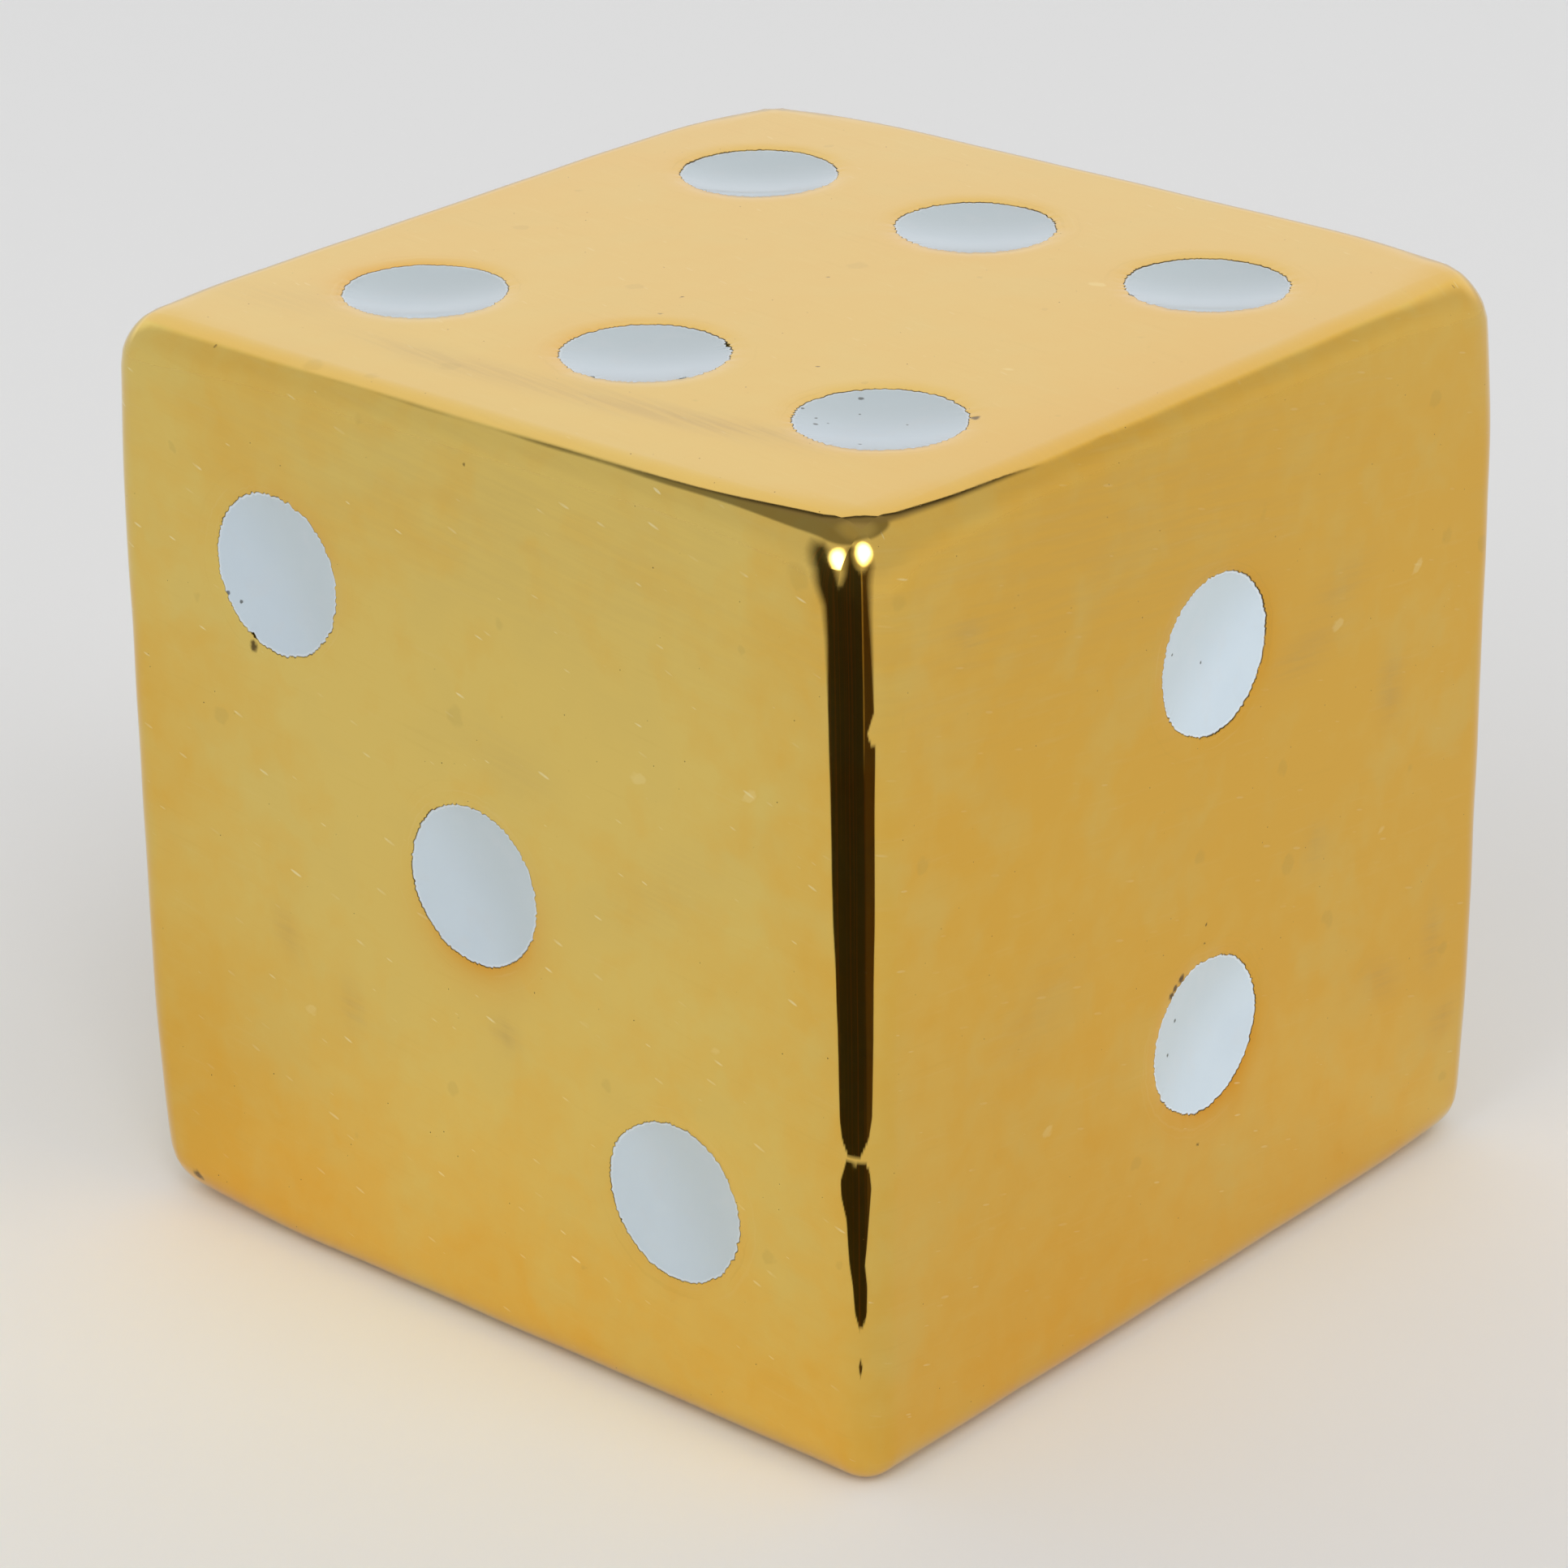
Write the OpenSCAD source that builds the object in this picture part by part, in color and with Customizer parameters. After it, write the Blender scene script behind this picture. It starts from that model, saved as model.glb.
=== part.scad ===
// Large ornamental die: a polished brass block with rolled edges and ball corners,
// and one dished white enamel pip set in each of its 21 shallow pockets.
// The die stands on its one face. The three faces -Y, the two faces +X and the six is on top.

/* [Body] */
// Width of the block along X
body_w = 80; // [66:0.1:120]
// Depth of the block along Y
body_d = 81.3; // [66:0.1:120]
// Height of the block along Z
body_h = 78.4; // [65:0.1:120]
// Radius of the rolled edges and of the ball corners where they meet
edge_r = 3.2; // [1:0.1:5]

/* [Pips] */
// Diameter of a pip's pocket
pip_d = 13.4; // [9:0.1:17]
// Depth of a pocket's flat floor below the face
pocket_depth = 2.2; // [1.4:0.1:5]
// Depth of the hollow in the enamel, from its rim to its middle
dish_depth = 0.6; // [0.2:0.05:0.9]
// Width of the flat rim of enamel left round the hollow
rim_land = 0.2; // [0.1:0.05:0.6]
// Width of the brass that rolls over into a pocket
rim_roll = 1.4; // [0.4:0.1:2.4]
// How far the brass drops across that width, down to the enamel's rim
rim_drop = 0.15; // [0.05:0.01:0.4]
// Hairline gap between the enamel and the pocket's wall
seam = 0.06; // [0.02:0.01:0.15]

/* [Layout] */
// From the side edges of the six face to its outer columns of pips
six_side_margin = 16.2; // [12:0.1:20]
// From the front and back edges of the six face to its rows of pips
six_row_margin = 20.3; // [12:0.1:26]
// How far the six pips sit off the middle of their face, to the right and up
six_shift = [0.3, 0.2]; // [-2:0.1:2]
// From the side edges of the three, four and five faces to their outer pips
side_margin = 19.5; // [12:0.1:24]
// From the upper and lower edges of the three, four and five faces to their outer pips
end_margin = 18.4; // [12:0.1:24]
// How far the three pips sit off the middle of their face, to the right and up
three_shift = [-0.4, 0.5]; // [-2:0.1:2]
// From the upper and lower edges of the two face to its pips
two_margin = 22.8; // [12:0.1:28]
// How far the two pips sit off the middle of their face, to the right and up
two_shift = [1.2, 0.8]; // [-2:0.1:2]

/* [Hidden] */

BRASS = [0.80, 0.64, 0.29];
ENAMEL = [0.82, 0.86, 0.88];

// A little extra length for cuts that pass through a surface
overcut = 1;

// A face: how it is turned from facing up, its width and height seen from outside,
// and how far it lies from the middle of the block
ONE = [[180, 0, 0], body_w, body_d, body_h / 2];
TWO = [[90, 0, 90], body_d, body_h, body_w / 2];
THREE = [[90, 0, 0], body_w, body_h, body_d / 2];
FOUR = [[90, 0, 180], body_w, body_h, body_d / 2];
FIVE = [[90, 0, 270], body_d, body_h, body_w / 2];
SIX = [[0, 0, 0], body_w, body_d, body_h / 2];

// Places on a face, to the right and up from its middle as seen from outside
function outer_place(face, right, up) =
    [right * (face[1] / 2 - side_margin), up * (face[2] / 2 - end_margin)];
function six_place(right, up) =
    [right * (SIX[1] / 2 - six_side_margin), up * (SIX[2] / 2 - six_row_margin)] + six_shift;
function two_place(up) = [0, up * (TWO[2] / 2 - two_margin)] + two_shift;
function three_place(step) = outer_place(THREE, -step, step) + three_shift;

// Every pip: its name, its face and its place there
PIPS = [
    ["one_pip", ONE, [0, 0]],
    ["two_upper_pip", TWO, two_place(1)],
    ["two_lower_pip", TWO, two_place(-1)],
    ["three_upper_pip", THREE, three_place(1)],
    ["three_middle_pip", THREE, three_place(0)],
    ["three_lower_pip", THREE, three_place(-1)],
    ["four_upper_left_pip", FOUR, outer_place(FOUR, -1, 1)],
    ["four_upper_right_pip", FOUR, outer_place(FOUR, 1, 1)],
    ["four_lower_left_pip", FOUR, outer_place(FOUR, -1, -1)],
    ["four_lower_right_pip", FOUR, outer_place(FOUR, 1, -1)],
    ["five_upper_left_pip", FIVE, outer_place(FIVE, -1, 1)],
    ["five_upper_right_pip", FIVE, outer_place(FIVE, 1, 1)],
    ["five_middle_pip", FIVE, [0, 0]],
    ["five_lower_left_pip", FIVE, outer_place(FIVE, -1, -1)],
    ["five_lower_right_pip", FIVE, outer_place(FIVE, 1, -1)],
    ["six_front_left_pip", SIX, six_place(-1, -1)],
    ["six_front_middle_pip", SIX, six_place(0, -1)],
    ["six_front_right_pip", SIX, six_place(1, -1)],
    ["six_back_left_pip", SIX, six_place(-1, 1)],
    ["six_back_middle_pip", SIX, six_place(0, 1)],
    ["six_back_right_pip", SIX, six_place(1, 1)],
];

// Puts a shape drawn at the origin, facing up, at a pip's place on its face
module at_pip(pip)
    translate([0, 0, body_h / 2])
        rotate(pip[1][0])
            translate([pip[2][0], pip[2][1], pip[1][3]])
                children();

// Copies a shape drawn in the +X +Y quarter into all four quarters round Z
module four_quarters()
    for (x = [0, 1], y = [0, 1])
        mirror([x, 0, 0])
            mirror([0, y, 0])
                children();

// The four rolled edges along Z of a block this wide, deep and high, each a quarter of a rod
module rolled_edges(w, d, h)
    four_quarters()
        translate([w / 2 - edge_r, d / 2 - edge_r, edge_r - h / 2])
            intersection() {
                cylinder(r = edge_r, h = h - 2 * edge_r, $fn = 64);
                cube([edge_r, edge_r, h - 2 * edge_r]);
            }

// The eight corners, each an eighth of a ball
module ball_corners()
    for (z = [0, 1])
        mirror([0, 0, z])
            four_quarters()
                translate([body_w / 2 - edge_r, body_d / 2 - edge_r, body_h / 2 - edge_r])
                    intersection() {
                        sphere(r = edge_r, $fn = 64);
                        cube(edge_r);
                    }

// The plain block: three crossed slabs that reach the six faces, with its edges and corners let in between
module block()
    translate([0, 0, body_h / 2]) {
        cube([body_w, body_d - 2 * edge_r, body_h - 2 * edge_r], center = true);
        cube([body_w - 2 * edge_r, body_d, body_h - 2 * edge_r], center = true);
        cube([body_w - 2 * edge_r, body_d - 2 * edge_r, body_h], center = true);
        rolled_edges(body_w, body_d, body_h);
        rotate([90, 0, 0])
            rolled_edges(body_w, body_h, body_d);
        rotate([0, 90, 0])
            rolled_edges(body_h, body_d, body_w);
        ball_corners();
    }

// A flat-bottomed pocket whose mouth is rolled over, cut down from the face
module pocket() {
    translate([0, 0, -pocket_depth])
        cylinder(d = pip_d, h = pocket_depth + overcut, $fn = 96);
    translate([0, 0, -rim_drop])
        cylinder(d1 = pip_d, d2 = pip_d + 2 * rim_roll, h = rim_drop, $fn = 96);
    cylinder(d = pip_d + 2 * rim_roll, h = overcut, $fn = 96);
}

module body()
    color(BRASS)
        difference() {
            block();
            for (pip = PIPS)
                at_pip(pip)
                    pocket();
        }

// The enamel beds on the pocket's floor. Its rim meets the rolled brass and its middle is dished.
module enamel_pip(pip) {
    rim = pip_d / 2 - seam;
    hollow = rim - rim_land;
    dish_r = (hollow * hollow + dish_depth * dish_depth) / (2 * dish_depth);
    color(ENAMEL)
        at_pip(pip)
            difference() {
                translate([0, 0, -pocket_depth])
                    cylinder(r = rim, h = pocket_depth - rim_drop, $fn = 96);
                translate([0, 0, dish_r - dish_depth - rim_drop])
                    sphere(r = dish_r, $fn = 240);
            }
}

body();
for (pip = PIPS)
    enamel_pip(pip);
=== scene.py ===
import math
import random

import bmesh
import bpy
import numpy as np
from mathutils import Matrix, Vector, noise
from mathutils.geometry import delaunay_2d_cdt


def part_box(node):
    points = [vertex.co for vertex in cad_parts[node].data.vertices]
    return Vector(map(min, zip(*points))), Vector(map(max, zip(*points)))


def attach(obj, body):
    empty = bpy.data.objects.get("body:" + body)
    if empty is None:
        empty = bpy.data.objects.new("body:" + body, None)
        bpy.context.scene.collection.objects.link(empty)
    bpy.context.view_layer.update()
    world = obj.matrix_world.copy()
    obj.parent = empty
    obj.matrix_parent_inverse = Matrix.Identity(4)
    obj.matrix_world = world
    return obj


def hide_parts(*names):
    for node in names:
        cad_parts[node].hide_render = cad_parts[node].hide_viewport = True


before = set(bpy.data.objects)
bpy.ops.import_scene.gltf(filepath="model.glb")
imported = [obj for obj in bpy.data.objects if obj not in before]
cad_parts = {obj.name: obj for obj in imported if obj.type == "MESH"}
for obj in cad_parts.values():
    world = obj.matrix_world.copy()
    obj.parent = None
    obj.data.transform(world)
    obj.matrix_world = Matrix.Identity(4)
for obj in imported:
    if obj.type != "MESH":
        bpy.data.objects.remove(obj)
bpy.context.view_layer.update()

scene = bpy.context.scene
scene.view_settings.view_transform = "Standard"


# The brass block. One solid casting, filed to a cube and buffed by hand to a mirror, so its edges
# roll over unevenly and its corners are worn rounder than its edges. Each pip has a shallow blind
# pocket, whose lip the buffing wheel dragged over.
block_low, block_high = (np.array(corner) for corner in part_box("body"))
block_middle = (block_low + block_high) / 2
block_half = (block_high - block_low) / 2

edge_roll = 0.0033       # how far from an edge a face starts to roll over
edge_squareness = 2.22   # 2 rolls the edge as a quarter circle, more keeps it squarer
edge_steps = 14          # strips from a face to the middle of an edge
skin_pitch = 0.0011      # spacing of the points on a face
corner_reach = 0.0093    # how far from a corner its rounder roll fades out along the edges
corner_roll = {          # the roll at each corner's tip, by the corner's side along X, Y and Z
    (-1, -1, -1): 0.0052, (1, -1, -1): 0.0035, (-1, 1, -1): 0.0050, (1, 1, -1): 0.0046,
    (-1, -1, 1): 0.0050, (1, -1, 1): 0.0060, (-1, 1, 1): 0.0077, (1, 1, 1): 0.0060,
}
worn_edge = block_half * (1, -1, 0.36)   # the middle of the most rubbed stretch of the front edge
worn_edge_reach, worn_edge_roll = 0.022, 0.0009
edge_wave_depth = 0.00003   # how far each of these waves, in radians a metre, swells and thins the roll
edge_waves = (((520, 410, 470), 0.4), ((-310, 560, 350), 2.1), ((230, -290, 640), 4.0))
faces = {                # which way is right and which is up on each face, seen from outside
    "one": ((1, 0, 0), (0, -1, 0)), "two": ((0, 1, 0), (0, 0, 1)), "three": ((1, 0, 0), (0, 0, 1)),
    "four": ((-1, 0, 0), (0, 0, 1)), "five": ((0, -1, 0), (0, 0, 1)), "six": ((1, 0, 0), (0, 1, 0)),
}


def outside(points):
    """How far points, measured from the block's middle, stand outside its worn skin."""
    roll = np.full(len(points), edge_roll)
    for side, tip_roll in corner_roll.items():
        away = np.linalg.norm(points - block_half * side, axis=1)
        roll += (tip_roll - edge_roll) * np.exp(-(away / corner_reach) ** 2)
    away = np.linalg.norm(points - worn_edge, axis=1)
    roll += worn_edge_roll * np.exp(-(away / worn_edge_reach) ** 2)
    for pace, start in edge_waves:
        roll += edge_wave_depth * np.sin(points @ np.array(pace) + start)
    over = np.maximum(np.abs(points) - block_half + roll[:, None], 0) / roll[:, None]
    return roll * ((over ** edge_squareness).sum(1) ** (1 / edge_squareness) - 1)


def waver(points):
    """How far hand buffing took each point of the skin down: long swells and shorter ripples."""
    long_swell, short_swell = 0.034, 0.011
    long_depth, short_depth = 0.00016, 0.000016
    return np.array([
        long_depth * (0.5 + 0.5 * noise.noise(Vector(p) / long_swell))
        + short_depth * (0.5 + 0.5 * noise.noise(Vector(p) / short_swell)) for p in points])


def skin(inner, direction):
    """The points where lines from inside the block, in these directions, leave its skin."""
    direction = direction / np.linalg.norm(direction, axis=1)[:, None]
    longest, halvings = 0.02, 36
    near, far = np.zeros(len(inner)), np.full(len(inner), longest)
    for _ in range(halvings):
        middle = (near + far) / 2
        out = outside(inner + direction * middle[:, None]) > 0
        near, far = np.where(out, near, middle), np.where(out, middle, far)
    found = inner + direction * near[:, None]
    return found - direction * waver(found)[:, None]


class Pip:
    """A pip's face, its place there, its size, and the outline of its pocket, from its part in the model."""

    rim_points = 288

    def __init__(self, name, number):
        self.name, self.number, self.face = name, number, name.split("_")[0]
        right, up = (np.array(way, float) for way in faces[self.face])
        out = np.cross(right, up)
        low, high = (np.array(corner) - block_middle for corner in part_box(name))
        middle, reach = (low + high) / 2, (high - low) / 2
        self.place = np.array([middle @ right, middle @ up])
        self.level = block_half @ np.abs(out)
        self.drop = self.level - (middle @ out + reach @ np.abs(out))
        self.depth = self.level - (middle @ out - reach @ np.abs(out))
        self.radius = reach @ np.abs(right) + pocket_seam
        to_block = np.eye(4)
        to_block[:3, 0], to_block[:3, 1], to_block[:3, 2] = right, up, out
        to_block[:3, 3] = block_middle + right * self.place[0] + up * self.place[1] + out * self.level
        self.to_block = Matrix(to_block.tolist())
        self.angles = np.arange(self.rim_points) * 2 * math.pi / self.rim_points
        self.rag = np.array([self.ragged(angle) for angle in self.angles])

    def ragged(self, angle):
        """How far the pocket's rim strays from a true circle at an angle."""
        across, along = math.cos(angle), math.sin(angle)
        strays = ((1.1, 0.00016), (3.5, 0.00007), (11, 0.00006), (30, 0.00020))   # how often, how far
        own_part = self.number * 7.3   # each pip reads a part of the noise of its own
        return sum(far * noise.noise(Vector((across * often, along * often, own_part)))
                   for often, far in strays)

    def outline(self, offset=0.0, rag_share=1.0, every=1):
        """Points at an offset outside the pocket's rim, on the face and from the pip's middle."""
        reach = (self.radius + offset + self.rag * rag_share)[::every]
        angles = self.angles[::every]
        return np.c_[reach * np.cos(angles), reach * np.sin(angles)]

    def beyond_rim(self, places):
        """How far places on the face lie outside the pocket's rim, or inside it where less than 0."""
        away = places - self.place
        angles = np.arctan2(away[:, 1], away[:, 0])
        rim = self.radius + np.interp(angles, self.angles, self.rag, period=2 * math.pi)
        return np.linalg.norm(away, axis=1) - rim


pocket_seam = 0.00006    # the hairline gap between the enamel and the pocket's wall
lip_roll = 0.0020        # the width of the lip that the buffing dragged over
lip_bend = 2.4           # 1 makes the lip a plain slope, more bends it down towards the rim
rag_reach = 0.0004       # how far from a rim its raggedness dies away
wall_step = 0.0004       # the depth of the upper strip of a pocket's wall
same_place = 1e-9        # spots nearer than this are one
far_off = 1.0            # the rim distance of points that no pocket is near
pips = [Pip(name, number) for number, name in
        enumerate(sorted(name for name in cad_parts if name.endswith("_pip")))]


def strip_lines(half):
    """Lines across a face: their places inside the block, and how far each leans out at the edges."""
    flat = half - edge_roll
    count = round(2 * flat / skin_pitch)
    crowding = 1.4           # more than 1 draws the strips closer together next to the face
    edge_middle = math.pi / 4
    lean = np.tan(edge_middle * np.linspace(0, 1, edge_steps + 1)[1:] ** crowding)
    places = np.concatenate([np.full(edge_steps, -flat), np.linspace(-flat, flat, count + 1),
                             np.full(edge_steps, flat)])
    return places, np.concatenate([-lean[::-1], np.zeros(count + 1), lean])


def face_skin(face, right, up, out):
    """One face of the block out to the middle of its edges: points, plan, rim distance, polygons.
    The plan and the rim distance are in millimetres."""
    to_millimetres = 1000
    level = block_half @ np.abs(out)
    half_right, half_up = block_half @ np.abs(right), block_half @ np.abs(up)
    across, lean_across = strip_lines(half_right)
    along, lean_along = strip_lines(half_up)
    own = [pip for pip in pips if pip.face == face]

    # The rolled strips round the flat of the face
    column, row = (grid.ravel() for grid in np.meshgrid(
        np.arange(len(across)), np.arange(len(along)), indexing="ij"))
    inner = (out * (level - edge_roll) + right * across[column][:, None] + up * along[row][:, None])
    points = skin(inner, out + right * lean_across[column][:, None] + up * lean_along[row][:, None])
    plan = np.c_[points @ right, points @ up]
    polygons = []
    for i in range(len(across) - 1):
        for j in range(len(along) - 1):
            if not (lean_across[i] == lean_across[i + 1] == 0 == lean_along[j] == lean_along[j + 1]):
                corner = i * len(along) + j
                polygons.append((corner, corner + len(along), corner + len(along) + 1, corner + 1))

    # The flat of the face, cut round each pocket and drawn finer towards its rim
    flat_right, flat_up = half_right - edge_roll, half_up - edge_roll
    steps_right = across[edge_steps:len(across) - edge_steps]
    steps_up = along[edge_steps:len(along) - edge_steps]
    spots = np.array([(u, v) for u in steps_right for v in steps_up])
    border = (np.abs(np.abs(spots) - (flat_right, flat_up)) < same_place).any(1)
    rings = (                # lines round a pocket: distance from its rim, and which of its points are used
        (0, 1), (0.00007, 1), (0.00016, 1), (0.0003, 2), (0.0005, 2), (0.0008, 3),
        (0.0012, 3), (0.0017, 4), (0.0023, 4))
    ring_gap = 0.7 * skin_pitch
    clear = np.ones(len(spots), bool)
    for pip in own:
        clear &= np.linalg.norm(spots - pip.place, axis=1) > pip.radius + rings[-1][0] + ring_gap
    flat = [spots[clear | border]]
    edges, count = [], len(flat[0])
    for pip in own:
        for offset, every in rings:
            flat.append(pip.place + pip.outline(offset, math.exp(-offset / rag_reach), every))
            if offset == 0:
                loop = np.arange(count, count + len(flat[-1]))
                edges += list(zip(loop.tolist(), np.roll(loop, -1).tolist()))
            count += len(flat[-1])
    flat = np.concatenate(flat)
    cut = delaunay_2d_cdt([Vector(spot) for spot in flat.tolist()], edges, [], 0, same_place)
    flat = np.array([tuple(spot) for spot in cut[0]])
    triangles = np.array(cut[2])
    centres = flat[triangles].mean(1)
    keep = np.ones(len(triangles), bool)
    rim_distance = np.full(len(flat), far_off)
    for pip in own:
        keep &= pip.beyond_rim(centres) > 0
        rim_distance = np.minimum(rim_distance, np.maximum(pip.beyond_rim(flat), 0))
    triangles = triangles[keep]
    inner = out * (level - edge_roll) + right * flat[:, :1] + up * flat[:, 1:]
    flat_points = skin(inner, np.tile(out, (len(flat), 1)))
    drop = own[0].drop * np.maximum(1 - rim_distance / lip_roll, 0) ** lip_bend
    flat_points -= out * drop[:, None]
    first = len(points)
    points = np.concatenate([points, flat_points])
    plan = np.concatenate([plan, flat])
    polygons += [tuple((triangle + first).tolist()) for triangle in triangles]
    rim_distance = np.concatenate([np.full(first, far_off), rim_distance])

    # The pockets' walls and floors
    for pip in own:
        rim = pip.place + pip.outline()
        nearest = [first + int(np.argmin(np.linalg.norm(flat - spot, axis=1))) for spot in rim]
        top = points[nearest]
        floor_level = top @ out - (level - pip.depth)
        walls = [top, top - out * wall_step, top - out * floor_level[:, None]]
        first_wall = len(points)
        floor_middle = out * (level - pip.depth) + right * pip.place[0] + up * pip.place[1]
        points = np.concatenate([points, *walls, [floor_middle]])
        plan = np.concatenate([plan, rim, rim, rim, [pip.place]])
        rim_distance = np.concatenate([rim_distance, np.zeros(3 * len(rim) + 1)])
        turn = len(rim)
        for k in range(turn):
            after = (k + 1) % turn
            for wall in (0, 1):
                a, b = first_wall + wall * turn, first_wall + (wall + 1) * turn
                polygons.append((a + k, a + after, b + after, b + k))
            polygons.append((first_wall + 2 * turn + k, first_wall + 2 * turn + after,
                             first_wall + 3 * turn))
    return points + block_middle, plan * to_millimetres, rim_distance * to_millimetres, polygons


warm_patches = (              # warm patches, partly tarnish and partly painted warm reflection of the gold-lit floor: face, place right and up, reach, strength
    ("two", (0.012, 0.004), 0.048, 0.84), ("two", (-0.020, -0.018), 0.034, 0.35),
    ("two", (0.038, 0.000), 0.026, 0.85), ("two", (-0.022, 0.026), 0.028, 0.55),
    ("two", (0.002, -0.026), 0.014, -0.40), ("three", (-0.034, -0.030), 0.020, 0.90),
    ("three", (-0.036, 0.004), 0.013, 0.55), ("three", (0.008, -0.038), 0.018, 0.10),
    ("three", (-0.024, 0.036), 0.012, 0.40), ("six", (0.000, 0.014), 0.045, 0.42),
    ("four", (0.015, -0.020), 0.034, 0.80), ("five", (-0.012, 0.010), 0.036, 0.70),
    ("one", (0.010, 0.010), 0.040, 0.80),
)
smudges = (              # dull films: face, place right and up, half length, half width, turn, strength
    ("six", (0.006, -0.0303), 0.0150, 0.0017, 5, 0.80),
    ("six", (0.018, -0.0286), 0.0070, 0.0013, 12, 0.55),
    ("six", (-0.012, -0.0314), 0.0080, 0.0015, 0, 0.50),
    ("six", (-0.030, -0.0290), 0.0070, 0.0030, 5, 0.30),
    ("two", (-0.012, 0.0310), 0.0340, 0.0120, 0, 0.34),
    ("two", (0.0134, 0.0136), 0.0040, 0.0016, 5, 0.55),
    ("two", (0.0254, 0.0067), 0.0016, 0.0030, 0, 0.60),
    ("two", (0.0177, 0.0179), 0.0040, 0.0018, 15, 0.42),
    ("two", (0.0155, -0.0040), 0.0014, 0.0020, 0, 0.45),
    ("two", (0.0328, -0.0187), 0.0012, 0.0030, 0, 0.55),
    ("two", (0.0254, -0.0196), 0.0028, 0.0016, -30, 0.55),
    ("two", (0.0350, -0.0269), 0.0020, 0.0014, 40, 0.60),
    ("two", (-0.0293, 0.0282), 0.0016, 0.0016, 0, 0.50),
    ("two", (-0.0200, -0.0050), 0.0060, 0.0040, 30, 0.28),
    ("three", (0.006, 0.0330), 0.0360, 0.0100, 0, 0.30),
    ("three", (0.0027, -0.0112), 0.0012, 0.0012, 0, 0.80),
    ("three", (-0.0216, -0.0099), 0.0012, 0.0020, 20, 0.55),
    ("three", (-0.0144, -0.0142), 0.0011, 0.0022, 0, 0.50),
    ("three", (0.020, 0.0060), 0.0080, 0.0030, 35, 0.24),
    ("three", (0.004, 0.0120), 0.0050, 0.0022, -20, 0.26),
    ("four", (-0.010, 0.0280), 0.0300, 0.0090, 4, 0.32),
    ("four", (0.022, -0.0040), 0.0050, 0.0024, 30, 0.40),
    ("five", (0.012, 0.0300), 0.0280, 0.0090, -4, 0.32),
    ("five", (-0.024, -0.0120), 0.0050, 0.0026, -25, 0.40),
    ("one", (-0.012, -0.0200), 0.0160, 0.0060, 12, 0.45),
)
lip_reflection_sides = {             # the pockets whose lip carries most painted warm reflection: which way, in degrees, and how much
    "two_lower_pip": (-62, 1.0), "two_upper_pip": (-15, 0.60), "three_middle_pip": (-75, 0.95),
    "three_upper_pip": (50, 0.30), "six_front_left_pip": (176, 0.55), "six_front_middle_pip": (200, 0.40),
    "four_upper_left_pip": (-80, 0.60), "five_middle_pip": (-70, 0.80), "one_pip": (-90, 0.70),
}
faint_lip_reflection = (-90, 0.25)   # the same for the other pockets


def on_face(points, face, across, along):
    """Where points lie from a place on a face: to the right, up and out."""
    right, up = (np.array(way, float) for way in faces[face])
    out = np.cross(right, up)
    away = points - block_middle - right * across - up * along - out * (block_half @ np.abs(out))
    return away @ right, away @ up, away @ out


def tarnish_and_warm_reflection(points):
    """How warm the brass is painted at points of the skin, from 0 to 1: partly tarnish, partly painted warm
    reflection of the gold-lit floor.
    """
    off_face = 3             # how much faster it fades away from the face than along it
    warmed = np.zeros(len(points))
    for face, (across, along), reach, strength in warm_patches:
        right, up, out = on_face(points, face, across, along)
        warmed += strength * np.exp(-(right ** 2 + up ** 2 + (off_face * out) ** 2) / reach ** 2)
    return np.clip(warmed, 0, 1)


def smudged(points):
    """How dull a film of handling lies on points of the skin, from 0 to 1."""
    film_depth = 0.004       # how far a film wraps over the edge of its face
    film = np.zeros(len(points))
    for face, (across, along), half_length, half_width, turn, strength in smudges:
        right, up, out = on_face(points, face, across, along)
        ease, lift = math.cos(math.radians(turn)), math.sin(math.radians(turn))
        long_share = (right * ease + up * lift) / half_length
        wide_share = (up * ease - right * lift) / half_width
        film += strength * np.exp(-long_share ** 2 - wide_share ** 2 - (out / film_depth) ** 2)
    return np.clip(film, 0, 1)


def lip_reflection(points):
    """How much painted warm reflection lies on the lip of a pocket at points of the skin, from 0 to 1."""
    glow_reach, glow_depth = 0.0015, 0.002
    warmed = np.zeros(len(points))
    for pip in pips:
        right, up, out = on_face(points, pip.face, *pip.place)
        beyond = np.maximum(np.hypot(right, up) - pip.radius, 0)
        turn, strength = lip_reflection_sides.get(pip.name, faint_lip_reflection)
        lean = 0.5 + 0.5 * np.cos(np.arctan2(up, right) - math.radians(turn))
        glow = strength * np.exp(-beyond / glow_reach) * lean ** 2 * (np.abs(out) < glow_depth)
        warmed = np.maximum(warmed, glow)
    return warmed


block_points, block_plan, block_rim, block_polygons = [], [], [], []
for face, (right, up) in faces.items():
    right, up = np.array(right, float), np.array(up, float)
    made = face_skin(face, right, up, np.cross(right, up))
    shift = sum(len(points) for points in block_points)
    block_points.append(made[0])
    block_plan.append(made[1])
    block_rim.append(made[2])
    block_polygons += [tuple(corner + shift for corner in polygon) for polygon in made[3]]
block_mesh = bpy.data.meshes.new("brass_block")
block_mesh.from_pydata(np.concatenate(block_points).tolist(), [], block_polygons)
plan_of_corner = np.concatenate(block_plan)[
    np.array([loop.vertex_index for loop in block_mesh.loops])]
block_mesh.uv_layers.new(name="face_plan").uv.foreach_set("vector", plan_of_corner.ravel())
block_points = np.concatenate(block_points)
for name, values in (("rim_distance", np.concatenate(block_rim)), ("tarnish_and_warm_reflection", tarnish_and_warm_reflection(block_points)),
                     ("smudge", smudged(block_points)), ("lip_reflection", lip_reflection(block_points))):
    block_mesh.attributes.new(name, "FLOAT", "POINT").data.foreach_set("value", values)
sewn = bmesh.new()
sewn.from_mesh(block_mesh)
stitch = 1e-6            # points of two faces nearer than this are sewn together
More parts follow.
